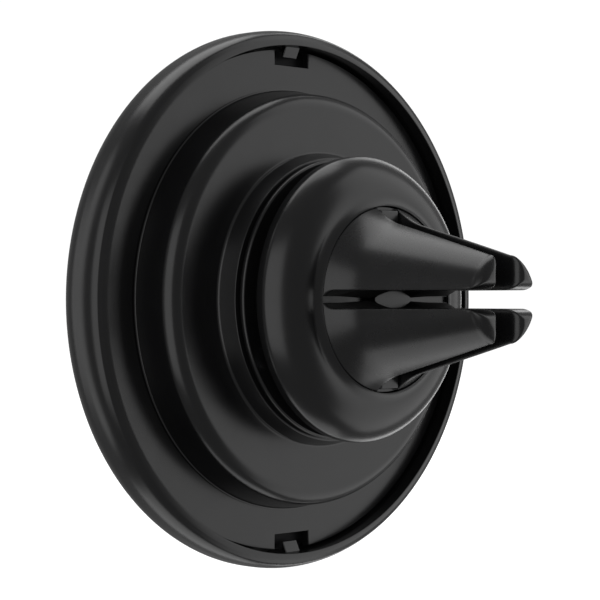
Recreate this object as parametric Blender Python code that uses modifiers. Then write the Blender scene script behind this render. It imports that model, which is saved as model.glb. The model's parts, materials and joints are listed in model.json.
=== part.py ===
"""Magnetic car phone mount with a ball joint and a four-finger vent clip.

The mount's axis is Y. The phone rests on the face at y = 0 and looks towards -Y, the fingers point
to +Y, and +Z is up. All sizes are in metres.
"""
import math

import bmesh
import bpy
from mathutils import Matrix, Vector

MM = 0.001

# Clearances
FIT = 0.30 * MM              # between neighbours that are turned or cut
STACK_GAP = 0.15 * MM        # between flat faces stacked along the axis
EDGE = 0.12 * MM             # small chamfer on a moulded edge

# Bezel: the outer cup of the disc
DISC_R = 30.0 * MM
LIP_Y = 6.8 * MM             # rear plane of the lip, measured from the phone face
LIP_WIDTH = 0.7 * MM
BEZEL_WALL = 1.8 * MM
FRONT_ROUND_R = 3.4 * MM
REAR_ROUND_DEPTH = 2.6 * MM
FRONT_WALL = 0.6 * MM
PAD_RECESS = 0.65 * MM
PAD_RIM_STEP = 0.2 * MM      # flat rim between the pad's recess and the front rounding
LIP_ROUND_DEG = 72           # where the rounding behind the disc's edge meets the lip

# Magnets, tray and shunt
MAGNET_COUNT = 16
MAGNET_R_IN = 23.0 * MM
MAGNET_R_OUT = 27.0 * MM
MAGNET_THICK = 1.8 * MM
MAGNET_GAP = 0.50 * MM       # along the ring, on each side of a magnet
POCKET_CLEAR = 0.15 * MM     # between a magnet and its window in the tray
SHUNT_THICK = 0.5 * MM

# Rear cover
LIP_STAND = 1.75 * MM        # how far the lip stands behind the cover
COVER_THICK = 1.0 * MM
NOTCH_WIDTH = 5.3 * MM
NOTCH_DEPTH = 1.8 * MM
HOOK_WIDTH = 2.2 * MM
HOOK_REACH = 1.2 * MM

# Boss and neck
BOSS_R = 23.25 * MM
BOSS_DRAFT = 0.55 * MM
BOSS_HEIGHT = 4.95 * MM      # above the rear cover
BOSS_ROUND_R = 1.7 * MM
BOSS_WALL = 1.5 * MM
NECK_R = 16.05 * MM
NECK_DRAFT = 0.55 * MM
NECK_HEIGHT = 2.1 * MM
NECK_WALL = 1.6 * MM
RING_STEP = 0.17 * MM        # how much smaller the ring is than the neck's rear end
RING_GROOVE = 0.35 * MM      # dark groove between the neck and the ring
RING_THICK = 0.7 * MM

# Screw posts of the socket housing
POST_COUNT = 4
POST_TO_WALL = 1.35 * MM     # between a post and the boss's wall
POST_TO_TRAY = 0.9 * MM      # between a post and the magnet tray
POST_R = 2.2 * MM
SCREW_R = 0.9 * MM
SCREW_HEAD_R = 1.7 * MM
SCREW_HEAD_THICK = 0.5 * MM
SCREW_CLEAR = 0.2 * MM
SCREW_SINK = 0.06 * MM       # how far the head lies under the face pad's seat
SCREW_TIP_SHARE = 0.4        # a pointed tip's radius, as a share of the shank's
CROSS_REACH_SHARE = 0.5      # the cross recess's half sizes, as shares of the head's radius
CROSS_WIDTH_SHARE = 0.12
SCREW_BITE = 4.0 * MM        # length in the post

# Ball joint
BALL_Y = 9.0 * MM
BALL_R = 5.0 * MM
BALL_CLEAR = 0.12 * MM
LINER_WALL = 1.0 * MM
LINER_SPLIT = 0.35 * MM      # from the ball's middle plane to each liner
FRONT_LINER_DEG = 66         # how far round the ball the front liner reaches
CUP_WALL = 1.4 * MM
CUP_FLOOR = 1.2 * MM
SPRING_THICK = 0.35 * MM
STEM_R = 2.3 * MM
STEM_CLEAR = 0.5 * MM        # around the stem, in the rear liner, for the tilt
THREAD_R = 1.9 * MM
THREAD_CHAMFER = 0.57 * MM
STUD_CLEAR = 0.6 * MM        # around the thread, in the back plate
NUT_THICK = 1.0 * MM
NUT_R = 3.9 * MM             # across the corners

# Clip body
RING_TO_CLIP = 1.9 * MM      # open gap that the tilt uses
CLIP_R = 15.45 * MM
CLIP_SHOULDER_R = 3.6 * MM
CLIP_BACK_EDGE = 0.25 * MM
CLIP_DEPTH = 3.95 * MM
CLIP_SKIN = 1.5 * MM
BACK_PLATE_THICK = 0.8 * MM
CLIP_SCREW_COUNT = 3
CLIP_SCREW_R = 0.6 * MM
CLIP_SCREW_HEAD_R = 1.05 * MM
CLIP_HEAD_THICK = 0.4 * MM
CLIP_HEAD_ROUND = 0.13 * MM
CLIP_POST_R = 1.2 * MM
CLIP_SCREW_BITE = 1.2 * MM

# Hub and fingers
HUB_R = 9.95 * MM
HUB_RISE = 0.05 * MM         # hub above the clip's face
HUB_GAP = 0.25 * MM          # dark line around the hub
HUB_FLANGE = 0.85 * MM       # how far the flange reaches past the hub
HUB_FLANGE_THICK = 0.8 * MM
FINGER_LENGTH = 17.05 * MM    # above the hub
DOME_R = 9.95 * MM
CONE_BASE_R = 8.1 * MM
CONE_BASE_RISE = 3.7 * MM    # where the dome becomes the cone, above the hub
CONE_TIP_R = 4.86 * MM
CONE_TIP_SETBACK = 1.3 * MM
TIP_FLAT_R = 3.63 * MM
VANE_SLOT = 1.9 * MM         # horizontal slot, for thin vanes
CROSS_SLOT = 3.1 * MM        # vertical slot, for thick vanes
LEAD_IN = 1.2 * MM           # chamfer of the tips along the horizontal slot
LEAD_IN_LENGTH = 2.0 * MM
CROSS_LEAD_IN = 0.8 * MM     # chamfer of the tips along the vertical slot
CROSS_LEAD_IN_LENGTH = 1.0 * MM
ROOT_WIDTH = 2.6 * MM
ROOT_DEPTH = 1.5 * MM
ROOT_PITCH_R = 6.0 * MM
ROOT_CLEAR = 0.4 * MM

# Grip pads at the bottom of the horizontal slot
PAD_INNER_X = 1.9 * MM
PAD_OUTER_X = 7.0 * MM
PAD_HEIGHT = 3.0 * MM
PAD_TANG = 0.9 * MM          # how deep the pad sits in the finger
PAD_CLEAR = 0.15 * MM
PAD_GAP_IN = 0.08 * MM       # half gap between two pads, near the axis
PAD_GAP_OUT = 0.40 * MM      # half gap between two pads, at the rim

SEGMENTS = 48
SMALL_SEGMENTS = 12
LINER_SEGMENTS = 32          # the ball and what hugs it

# Planes along the axis, worked out from the sizes above
COVER_TOP_Y = LIP_Y - LIP_STAND
COVER_Y = COVER_TOP_Y - COVER_THICK
BEZEL_FLOOR_Y = PAD_RECESS + FRONT_WALL
MAGNET_Y = BEZEL_FLOOR_Y + STACK_GAP
SHUNT_Y = MAGNET_Y + MAGNET_THICK + STACK_GAP
BOSS_Y = COVER_TOP_Y + STACK_GAP
BOSS_TOP_Y = BOSS_Y + BOSS_HEIGHT - STACK_GAP
NECK_TOP_Y = BOSS_TOP_Y + NECK_HEIGHT
RING_Y = NECK_TOP_Y + RING_GROOVE
RING_TOP_Y = RING_Y + RING_THICK
CLIP_Y = RING_TOP_Y + RING_TO_CLIP
CLIP_FACE_Y = CLIP_Y + CLIP_DEPTH
HUB_TOP_Y = CLIP_FACE_Y + HUB_RISE
FINGER_Y = HUB_TOP_Y + FIT
FINGER_TIP_Y = HUB_TOP_Y + FINGER_LENGTH
BEZEL_INNER_R = DISC_R - BEZEL_WALL
COVER_R = BEZEL_INNER_R - FIT
BOSS_TOP_R = BOSS_R - BOSS_DRAFT
NECK_TOP_R = NECK_R - NECK_DRAFT
RING_R = NECK_TOP_R - RING_STEP
POST_PITCH_R = BOSS_R - BOSS_WALL - POST_TO_WALL - POST_R
TRAY_R_IN = POST_PITCH_R + POST_R + POST_TO_TRAY
LINER_R_IN = BALL_R + BALL_CLEAR
LINER_R_OUT = LINER_R_IN + LINER_WALL
CUP_R_IN = LINER_R_OUT + FIT
CUP_R_OUT = CUP_R_IN + CUP_WALL
CUP_Y = BEZEL_FLOOR_Y + STACK_GAP
CUP_TOP_Y = NECK_TOP_Y
HUB_FLANGE_Y = CLIP_FACE_Y - CLIP_SKIN - STACK_GAP - HUB_FLANGE_THICK
HUB_FLANGE_R = HUB_R + HUB_FLANGE
BACK_PLATE_Y = HUB_FLANGE_Y - STACK_GAP - BACK_PLATE_THICK
CLIP_CAVITY_R = CLIP_R - CLIP_SKIN
CLIP_SCREW_PITCH_R = HUB_FLANGE_R + FIT + CLIP_POST_R
ROOT_END_Y = FINGER_Y - ROOT_DEPTH
ROOT_PIVOT_Y = FINGER_Y - ROOT_DEPTH / 2
PAD_RECESS_R = DISC_R - FRONT_ROUND_R - PAD_RIM_STEP
QUADRANTS = ((1, 1), (-1, 1), (-1, -1), (1, -1))      # signs of X and Z, one for each finger

PARTS_NAME = "car_phone_mount"
CUTTERS_NAME = "cutters"

AXIS_TURN = Matrix.Rotation(-math.pi / 2, 4, "X")     # local +Z becomes world +Y


def clear_scene():
    for obj in list(bpy.data.objects):
        bpy.data.objects.remove(obj)


def new_collection(name):
    collection = bpy.data.collections.new(name)
    bpy.context.scene.collection.children.link(collection)
    return collection


def new_material(name, colour, roughness, metallic=0.0):
    material = bpy.data.materials.new(name)
    material.use_nodes = True
    shader = material.node_tree.nodes["Principled BSDF"]
    shader.inputs["Base Color"].default_value = (*colour, 1.0)
    shader.inputs["Roughness"].default_value = roughness
    shader.inputs["Metallic"].default_value = metallic
    return material


def add_part(name, mesh, material, sharp_angle=math.radians(35)):
    """A named sub-part in the mount's collection, smooth except at its real edges."""
    obj = bpy.data.objects.new(name, mesh)
    if not mesh.materials:
        mesh.materials.append(material)
    mesh.shade_smooth()
    mesh.set_sharp_from_angle(angle=sharp_angle)
    bpy.data.collections[PARTS_NAME].objects.link(obj)
    return obj


def add_cutter(name, mesh):
    obj = bpy.data.objects.new(name, mesh)
    obj.hide_render = True
    obj.display_type = "WIRE"
    bpy.data.collections[CUTTERS_NAME].objects.link(obj)
    return obj


def cut(obj, cutter, operation="DIFFERENCE"):
    modifier = obj.modifiers.new(cutter.name, "BOOLEAN")
    modifier.operation = operation
    modifier.object = cutter
    modifier.solver = "EXACT"
    return modifier


def profile_mesh(name, points, closed):
    """Outline of a turned piece: (radius, distance along the axis) pairs, outer side first."""
    mesh = bpy.data.meshes.new(name)
    count = len(points)
    edges = [(i, i + 1) for i in range(count - 1)]
    if closed:
        edges.append((count - 1, 0))
    mesh.from_pydata([(radius, 0.0, along) for radius, along in points], edges, [])
    return mesh


def add_screw(obj, segments):
    screw = obj.modifiers.new("turn", "SCREW")
    screw.steps = segments
    screw.render_steps = segments
    screw.use_merge_vertices = True
    screw.merge_threshold = 0.00001
    screw.use_smooth_shade = True
    obj.matrix_world = AXIS_TURN


def is_ring(points):
    return min(radius for radius, _ in points) > 0.0


def turned(name, points, material, segments=SEGMENTS):
    """A piece turned about the mount's axis. A profile that meets the axis starts and ends on it."""
    obj = add_part(name, profile_mesh(name, points, is_ring(points)), material)
    add_screw(obj, segments)
    return obj


def arc(centre_r, centre_y, radius, start_deg, end_deg, steps):
    """Points on an arc of a profile. 0 degrees points outward, 90 along the axis."""
    points = []
    for i in range(steps + 1):
        angle = math.radians(start_deg + (end_deg - start_deg) * i / steps)
        points.append((centre_r + radius * math.cos(angle), centre_y + radius * math.sin(angle)))
    return points


def ring_profile(r_in, r_out, y_low, y_high, chamfer=0.0):
    """Rectangle section of a ring or washer, its outer corners chamfered."""
    if not chamfer:
        return [(r_out, y_high), (r_out, y_low), (r_in, y_low), (r_in, y_high)]
    return [(r_out - chamfer, y_high), (r_out, y_high - chamfer), (r_out, y_low + chamfer),
            (r_out - chamfer, y_low), (r_in, y_low), (r_in, y_high)]


def cylinder_mesh(name, radius, length, top_radius=None, segments=SMALL_SEGMENTS):
    """A cylinder or a cone along Y, its low end at the origin."""
    mesh = bpy.data.meshes.new(name)
    bm = bmesh.new()
    bmesh.ops.create_cone(bm, cap_ends=True, segments=segments, radius1=radius,
                          radius2=radius if top_radius is None else top_radius, depth=length)
    bmesh.ops.translate(bm, vec=(0.0, 0.0, length / 2), verts=bm.verts)
    bm.transform(AXIS_TURN)
    bm.to_mesh(mesh)
    bm.free()
    return mesh


def box_mesh(name, low, high):
    mesh = bpy.data.meshes.new(name)
    bm = bmesh.new()
    bmesh.ops.create_cube(bm, size=1.0)
    low, high = Vector(low), Vector(high)
    for vert in bm.verts:
        vert.co = Vector(low[i] + (vert.co[i] + 0.5) * (high[i] - low[i]) for i in range(3))
    bm.to_mesh(mesh)
    bm.free()
    return mesh


def box_between(corner, opposite):
    """A box from one corner to the opposite one, whichever way they lie."""
    return box_mesh("box", [min(a, b) for a, b in zip(corner, opposite)],
                    [max(a, b) for a, b in zip(corner, opposite)])


def joined_mesh(name, meshes):
    mesh = bpy.data.meshes.new(name)
    bm = bmesh.new()
    for piece in meshes:
        bm.from_mesh(piece)
        bpy.data.meshes.remove(piece)
    bm.to_mesh(mesh)
    bm.free()
    return mesh


def placed(mesh, x, y, z):
    mesh.transform(Matrix.Translation((x, y, z)))
    return mesh


def around(count, radius, start_deg=0.0):
    """Places evenly spaced about the axis, as (x, z) pairs."""
    places = []
    for i in range(count):
        angle = math.radians(start_deg + 360.0 * i / count)
        places.append((radius * math.cos(angle), radius * math.sin(angle)))
    return places


def sector_mesh(name, r_in, r_out, y_low, y_high, start, end, steps=4):
    """A block between two radii and two angles, as an arc magnet is: an extruded flat outline."""
    mesh = bpy.data.meshes.new(name)
    bm = bmesh.new()
    angles = [start + (end - start) * i / steps for i in range(steps + 1)]
    outline = [(r_out * math.cos(angle), r_out * math.sin(angle)) for angle in angles]
    outline += [(r_in * math.cos(angle), r_in * math.sin(angle)) for angle in reversed(angles)]
    face = bm.faces.new([bm.verts.new((x, y_low, z)) for x, z in outline])
    raised = bmesh.ops.extrude_face_region(bm, geom=[face])["geom"]
    top = [item for item in raised if isinstance(item, bmesh.types.BMVert)]
    bmesh.ops.translate(bm, vec=(0.0, y_high - y_low, 0.0), verts=top)
    bmesh.ops.recalc_face_normals(bm, faces=bm.faces)
    bm.to_mesh(mesh)
    bm.free()
    return mesh


HOUSING_SCREW_PLACES = around(POST_COUNT, POST_PITCH_R, 45)
CLIP_SCREW_PLACES = around(CLIP_SCREW_COUNT, CLIP_SCREW_PITCH_R, 90)


def build_bezel(material):
    """A cup whose front wall is closed, with two latch hooks and four countersunk screw holes."""
    round_r = DISC_R - FRONT_ROUND_R
    lip_r = BEZEL_INNER_R + LIP_WIDTH
    rear_round_y = LIP_Y - REAR_ROUND_DEPTH
    points = [(0.0, BEZEL_FLOOR_Y), (BEZEL_INNER_R, BEZEL_FLOOR_Y), (BEZEL_INNER_R, LIP_Y), (lip_r, LIP_Y)]
    for radius, along in arc(0.0, 0.0, 1.0, LIP_ROUND_DEG, 0, 4):
        points.append((lip_r + (DISC_R - lip_r) * radius, rear_round_y + REAR_ROUND_DEPTH * along))
    points += arc(round_r, FRONT_ROUND_R, FRONT_ROUND_R, 0, -90, 6)
    points += [(PAD_RECESS_R, 0.0), (PAD_RECESS_R, PAD_RECESS), (0.0, PAD_RECESS)]
    bezel = turned("bezel_housing", points, material)

    hooks = []
    for side in (1, -1):
        z_wall = side * (BEZEL_INNER_R + BEZEL_WALL / 2)
        z_tip = side * (BEZEL_INNER_R - HOOK_REACH)
        hooks.append(box_mesh("hook", (-HOOK_WIDTH / 2, COVER_Y + COVER_THICK / 2, min(z_wall, z_tip)),
                              (HOOK_WIDTH / 2, COVER_Y + COVER_THICK * 1.5, max(z_wall, z_tip))))
    cut(bezel, add_cutter("hook_bodies", joined_mesh("hook_bodies", hooks)), "UNION")

    spread = (SCREW_HEAD_R - SCREW_R) / 2
    sinks = [placed(cylinder_mesh("sink", SCREW_HEAD_R + SCREW_CLEAR + spread, 2 * FRONT_WALL,
                                  SCREW_R + SCREW_CLEAR - spread), x, PAD_RECESS - FRONT_WALL / 2, z)
             for x, z in HOUSING_SCREW_PLACES]
    cut(bezel, add_cutter("bezel_screw_sinks", joined_mesh("bezel_screw_sinks", sinks)))


def build_face_pad(material):
    pad_r = PAD_RECESS_R - FIT
    pad_top_y = PAD_RECESS - STACK_GAP
    turned("face_pad", [(0.0, pad_top_y), (pad_r, pad_top_y), (pad_r, 0.0), (0.0, 0.0)], material)


def build_magnets(magnet_material, tray_material, steel):
    pitch = 2 * math.pi / MAGNET_COUNT
    half = pitch / 2 - MAGNET_GAP / MAGNET_R_IN
    window_half = half + POCKET_CLEAR / MAGNET_R_IN
    windows = []
    for i in range(MAGNET_COUNT):
        middle = pitch * (i + 0.5)
        mesh = sector_mesh("magnet", MAGNET_R_IN, MAGNET_R_OUT, MAGNET_Y, MAGNET_Y + MAGNET_THICK,
                           middle - half, middle + half)
        add_part(f"magnet_{i + 1:02d}", mesh, magnet_material)
        windows.append(sector_mesh("window", MAGNET_R_IN - POCKET_CLEAR, MAGNET_R_OUT + POCKET_CLEAR,
                                   MAGNET_Y - MAGNET_THICK, MAGNET_Y + 2 * MAGNET_THICK,
                                   middle - window_half, middle + window_half))
    tray = turned("magnet_tray", ring_profile(TRAY_R_IN, COVER_R, MAGNET_Y, MAGNET_Y + MAGNET_THICK),
                  tray_material)
    cut(tray, add_cutter("tray_windows", joined_mesh("tray_windows", windows)))
    turned("shunt_plate", ring_profile(MAGNET_R_IN - FIT, MAGNET_R_OUT + FIT, SHUNT_Y, SHUNT_Y + SHUNT_THICK),
           steel)


def build_rear_cover(material):
    """A flat ring with a rectangular latch notch at its top and bottom."""
    cover = turned("rear_cover", ring_profile(TRAY_R_IN, COVER_R, COVER_Y, COVER_TOP_Y), material)
    notches = []
    for side in (1, -1):
        z_in = side * (COVER_R - NOTCH_DEPTH)
        z_out = side * (COVER_R + NOTCH_DEPTH)
        notches.append(box_mesh("notch", (-NOTCH_WIDTH / 2, COVER_Y - COVER_THICK, min(z_in, z_out)),
                                (NOTCH_WIDTH / 2, COVER_TOP_Y + COVER_THICK, max(z_in, z_out))))
    cut(cover, add_cutter("cover_notches", joined_mesh("cover_notches", notches)))


def build_socket_housing(material):
    """The boss and the neck as one shell, with four screw posts inside the boss."""
    neck_in = NECK_R - NECK_WALL
    boss_in = BOSS_R - BOSS_WALL
    ceiling_y = BOSS_TOP_Y - BOSS_WALL
    points = [(NECK_TOP_R - EDGE, NECK_TOP_Y), (NECK_TOP_R, NECK_TOP_Y - EDGE), (NECK_R, BOSS_TOP_Y)]
    points += arc(BOSS_TOP_R - BOSS_ROUND_R, BOSS_TOP_Y - BOSS_ROUND_R, BOSS_ROUND_R, 90, 0, 4)
    points += [(BOSS_R, BOSS_Y), (boss_in, BOSS_Y), (boss_in, ceiling_y), (neck_in, ceiling_y),
               (neck_in, NECK_TOP_Y)]
    housing = turned("socket_housing", points, material)
    post_y = BEZEL_FLOOR_Y + STACK_GAP
    post_length = ceiling_y + BOSS_WALL / 2 - post_y
    posts = [placed(cylinder_mesh("post", POST_R, post_length), x, post_y, z)
             for x, z in HOUSING_SCREW_PLACES]
    cut(housing, add_cutter("housing_posts", joined_mesh("housing_posts", posts)), "UNION")
    bores = [placed(cylinder_mesh("bore", SCREW_R + SCREW_CLEAR, SCREW_BITE + 2 * FIT), x, post_y - FIT, z)
             for x, z in HOUSING_SCREW_PLACES]
    cut(housing, add_cutter("post_bores", joined_mesh("post_bores", bores)))


def sunk_screw_profile(length):
    """A countersunk head with its flat top at 0, and a pointed shank."""
    return [(0.0, length), (SCREW_R * SCREW_TIP_SHARE, length), (SCREW_R, length - SCREW_R),
            (SCREW_R, SCREW_HEAD_THICK), (SCREW_HEAD_R, 0.0), (0.0, 0.0)]


def pan_screw_profile(length):
    """A low pan head with its top at 0, and a pointed shank."""
    return [(0.0, length), (CLIP_SCREW_R * SCREW_TIP_SHARE, length), (CLIP_SCREW_R, length - CLIP_SCREW_R),
            (CLIP_SCREW_R, CLIP_HEAD_THICK), (CLIP_SCREW_HEAD_R, CLIP_HEAD_THICK),
            (CLIP_SCREW_HEAD_R, CLIP_HEAD_ROUND), (CLIP_SCREW_HEAD_R - CLIP_HEAD_ROUND, 0.0), (0.0, 0.0)]


def add_screws(prefix, places, y_head, profile, head_r, head_thick, material):
    """Screws that point along +Y, each with a cross recess in its head."""
    for i, (x, z) in enumerate(places):
        screw = turned(f"{prefix}_{i + 1}", profile, material, SMALL_SEGMENTS)
        screw.matrix_world = Matrix.Translation((x, y_head, z)) @ AXIS_TURN
        reach = head_r * CROSS_REACH_SHARE
        width = head_r * CROSS_WIDTH_SHARE
        for half_x, half_z in ((reach, width), (width, reach)):
            low = (x - half_x, y_head - head_thick, z - half_z)
            high = (x + half_x, y_head + head_thick / 2, z + half_z)
            cut(screw, add_cutter(f"{screw.name}_recess", box_mesh("recess", low, high)))


def build_housing_screws(steel):
    y_head = PAD_RECESS + SCREW_SINK
    profile = sunk_screw_profile(BEZEL_FLOOR_Y + STACK_GAP + SCREW_BITE - y_head)
    add_screws("housing_screw", HOUSING_SCREW_PLACES, y_head, profile, SCREW_HEAD_R, SCREW_HEAD_THICK, steel)


def shell_section(r_in, r_out, low, high, steps):
    """Section of a spherical shell about the ball's centre, between two planes measured from it."""
    def side(radius, start, end):
        return arc(0.0, BALL_Y, radius, math.degrees(math.asin(start / radius)),
                   math.degrees(math.asin(end / radius)), steps)
    return side(r_out, high, low) + side(r_in, low, high)


def build_liners(material, spring_material):
    """Two seats that hug the ball, and the dished washer that presses the front one on it."""
    stem_mouth = math.sqrt(LINER_R_IN ** 2 - (STEM_R + STEM_CLEAR) ** 2)
    rear_end = min(RING_TOP_Y - BALL_Y - FIT, stem_mouth)
    front_end = LINER_R_IN * math.sin(math.radians(FRONT_LINER_DEG))
    turned("rear_liner", shell_section(LINER_R_IN, LINER_R_OUT, LINER_SPLIT, rear_end, 4), material,
           LINER_SEGMENTS)
    turned("front_liner", shell_section(LINER_R_IN, LINER_R_OUT, -front_end, -LINER_SPLIT, 5), material,
           LINER_SEGMENTS)

    low_y = CUP_Y + CUP_FLOOR + STACK_GAP
    high_y = BALL_Y - front_end - STACK_GAP - SPRING_THICK
    outer_r = CUP_R_IN - FIT
    inner_r = math.sqrt(LINER_R_OUT ** 2 - front_end ** 2) - LINER_WALL
    turned("preload_spring", [(inner_r, high_y + SPRING_THICK), (outer_r, low_y + SPRING_THICK),
                              (outer_r, low_y), (inner_r, high_y)], spring_material,
           LINER_SEGMENTS)


def build_ball_socket(material):
    """The cup around the liners, and the ring that closes the neck behind it."""
    floor_y = CUP_Y + CUP_FLOOR
    flange_r = NECK_R - NECK_WALL - FIT
    flange_y = NECK_TOP_Y - CUP_WALL
    turned("ball_socket", [(0.0, floor_y), (CUP_R_IN, floor_y), (CUP_R_IN, NECK_TOP_Y), (flange_r, NECK_TOP_Y),
                           (flange_r, flange_y), (CUP_R_OUT, flange_y), (CUP_R_OUT, CUP_Y), (0.0, CUP_Y)],
           material)

    def seat_r(y):
        return math.sqrt(LINER_R_OUT ** 2 - (y - BALL_Y) ** 2) + FIT

    turned("retaining_ring", [(RING_R - EDGE, RING_TOP_Y), (RING_R, RING_TOP_Y - EDGE), (RING_R, RING_Y + EDGE),
                              (RING_R - EDGE, RING_Y), (seat_r(RING_Y), RING_Y),
                              (seat_r(RING_TOP_Y), RING_TOP_Y)], material)


def build_ball_stud(steel):
    nut_top_y = BACK_PLATE_Y - FIT
    shoulder_y = nut_top_y - NUT_THICK - STACK_GAP
    end_y = HUB_FLANGE_Y + HUB_FLANGE_THICK
    neck_deg = math.degrees(math.acos(THREAD_R / BALL_R))
    points = [(0.0, end_y), (THREAD_R - THREAD_CHAMFER, end_y), (THREAD_R, end_y - THREAD_CHAMFER),
              (THREAD_R, shoulder_y), (STEM_R, shoulder_y)]
    points += arc(0.0, BALL_Y, BALL_R, neck_deg, -90, 12)[:-1]
    points += [(0.0, BALL_Y - BALL_R)]
    turned("ball_stud", points, steel, LINER_SEGMENTS)

    nut = add_part("stud_nut", cylinder_mesh("stud_nut", NUT_R, NUT_THICK, segments=6), steel)
    placed(nut.data, 0.0, nut_top_y - NUT_THICK, 0.0)
    bore = placed(cylinder_mesh("nut_bore", THREAD_R + SCREW_CLEAR, 3 * NUT_THICK), 0.0,
                  nut_top_y - 2 * NUT_THICK, 0.0)
    cut(nut, add_cutter("nut_bore", bore))


def build_clip_body(material):
    """The knob: a cap with a soft shoulder, open at the back, with three screw posts inside."""
    shoulder_y = CLIP_FACE_Y - CLIP_SHOULDER_R
    shoulder_r = CLIP_R - CLIP_SHOULDER_R
    ceiling_y = CLIP_FACE_Y - CLIP_SKIN
    points = arc(shoulder_r, shoulder_y, CLIP_SHOULDER_R, 90, 0, 7)
    points += [(CLIP_R, CLIP_Y + CLIP_BACK_EDGE), (CLIP_R - CLIP_BACK_EDGE, CLIP_Y), (CLIP_CAVITY_R, CLIP_Y)]
    points += arc(shoulder_r, shoulder_y, CLIP_SHOULDER_R - CLIP_SKIN, 0, 90, 3)
    points += [(HUB_R + HUB_GAP, ceiling_y), (HUB_R + HUB_GAP, CLIP_FACE_Y)]
    body = turned("clip_body", points, material)
    post_y = HUB_FLANGE_Y
    post_length = ceiling_y + CLIP_SKIN / 3 - post_y
    posts = [placed(cylinder_mesh("post", CLIP_POST_R, post_length), x, post_y, z)
             for x, z in CLIP_SCREW_PLACES]
    cut(body, add_cutter("clip_posts", joined_mesh("clip_posts", posts)), "UNION")
    bores = [placed(cylinder_mesh("bore", CLIP_SCREW_R + SCREW_CLEAR, CLIP_SCREW_BITE + 2 * FIT),
                    x, post_y - FIT, z) for x, z in CLIP_SCREW_PLACES]
    cut(body, add_cutter("clip_post_bores", joined_mesh("clip_post_bores", bores)))


def build_back_plate(material, steel):
    plate = turned("clip_back_plate", ring_profile(THREAD_R + STUD_CLEAR, CLIP_CAVITY_R - FIT, BACK_PLATE_Y,
                                                   BACK_PLATE_Y + BACK_PLATE_THICK, EDGE), material)
    holes = [placed(cylinder_mesh("hole", CLIP_SCREW_R + SCREW_CLEAR, 3 * BACK_PLATE_THICK),
                    x, BACK_PLATE_Y - BACK_PLATE_THICK, z) for x, z in CLIP_SCREW_PLACES]
    cut(plate, add_cutter("plate_holes", joined_mesh("plate_holes", holes)))
    y_head = BACK_PLATE_Y - STACK_GAP / 2 - CLIP_HEAD_THICK
    profile = pan_screw_profile(HUB_FLANGE_Y + CLIP_SCREW_BITE - y_head)
    add_screws("clip_screw", CLIP_SCREW_PLACES, y_head, profile, CLIP_SCREW_HEAD_R, CLIP_HEAD_THICK, steel)


def root_mesh(name, sign_x, sign_z, half, low_y, high_y):
    """A square root block on the diagonal of one quadrant, turned to face the axis."""
    mesh = box_mesh(name, (ROOT_PITCH_R - half, low_y, -half), (ROOT_PITCH_R + half, high_y, half))
    mesh.transform(Matrix.Rotation(-math.atan2(sign_z, sign_x), 4, "Y"))
    return mesh


def build_hub(material):
    """The round base of the fingers, with a pocket for each root and a bore for the stud."""
    bore_r = THREAD_R + SCREW_CLEAR
    bore_top_y = HUB_FLANGE_Y + HUB_FLANGE_THICK + FIT
    flange_top_y = HUB_FLANGE_Y + HUB_FLANGE_THICK
    hub = turned("clip_hub", [(0.0, HUB_TOP_Y), (HUB_R - EDGE, HUB_TOP_Y), (HUB_R, HUB_TOP_Y - EDGE),
                              (HUB_R, flange_top_y), (HUB_FLANGE_R, flange_top_y), (HUB_FLANGE_R, HUB_FLANGE_Y),
                              (bore_r, HUB_FLANGE_Y), (bore_r, bore_top_y), (0.0, bore_top_y)], material)
    pockets = [root_mesh("pocket", sign_x, sign_z, ROOT_WIDTH / 2 + ROOT_CLEAR, ROOT_END_Y - FIT,
                         HUB_TOP_Y + FIT) for sign_x, sign_z in QUADRANTS]
    cut(hub, add_cutter("root_pockets", joined_mesh("root_pockets", pockets)))


def wedge_mesh(name, low_y, low_half, high_y, high_half):
    """A block along Y whose two ends differ: each half is (half size in X, half size in Z)."""
    mesh = box_mesh(name, (-1.0, low_y, -1.0), (1.0, high_y, 1.0))
    middle_y = (low_y + high_y) / 2
    for vert in mesh.vertices:
        half_x, half_z = low_half if vert.co.y < middle_y else high_half
        vert.co.x *= half_x
        vert.co.z *= half_z
    return mesh


def finger_profile():
    """Dome at the base, then a straight cone, then the rounded tip."""
    cone_y = HUB_TOP_Y + CONE_BASE_RISE
    tip_round_y = FINGER_TIP_Y - CONE_TIP_SETBACK
    points = [(0.0, FINGER_TIP_Y)]
    for radius, along in arc(0.0, 0.0, 1.0, 90, 0, 5):
        points.append((TIP_FLAT_R + (CONE_TIP_R - TIP_FLAT_R) * radius, tip_round_y + CONE_TIP_SETBACK * along))
    slope = (CONE_BASE_R - CONE_TIP_R) / (tip_round_y - cone_y)
    steps = 5
    for i in range(steps + 1):
        share = i / steps
        drop = (cone_y - FINGER_Y) * share
        bulge = (DOME_R - CONE_BASE_R - slope * (cone_y - FINGER_Y)) * share ** 2
        points.append((CONE_BASE_R + slope * drop + bulge, cone_y - drop))
    points.append((0.0, FINGER_Y))
    return points


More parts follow.
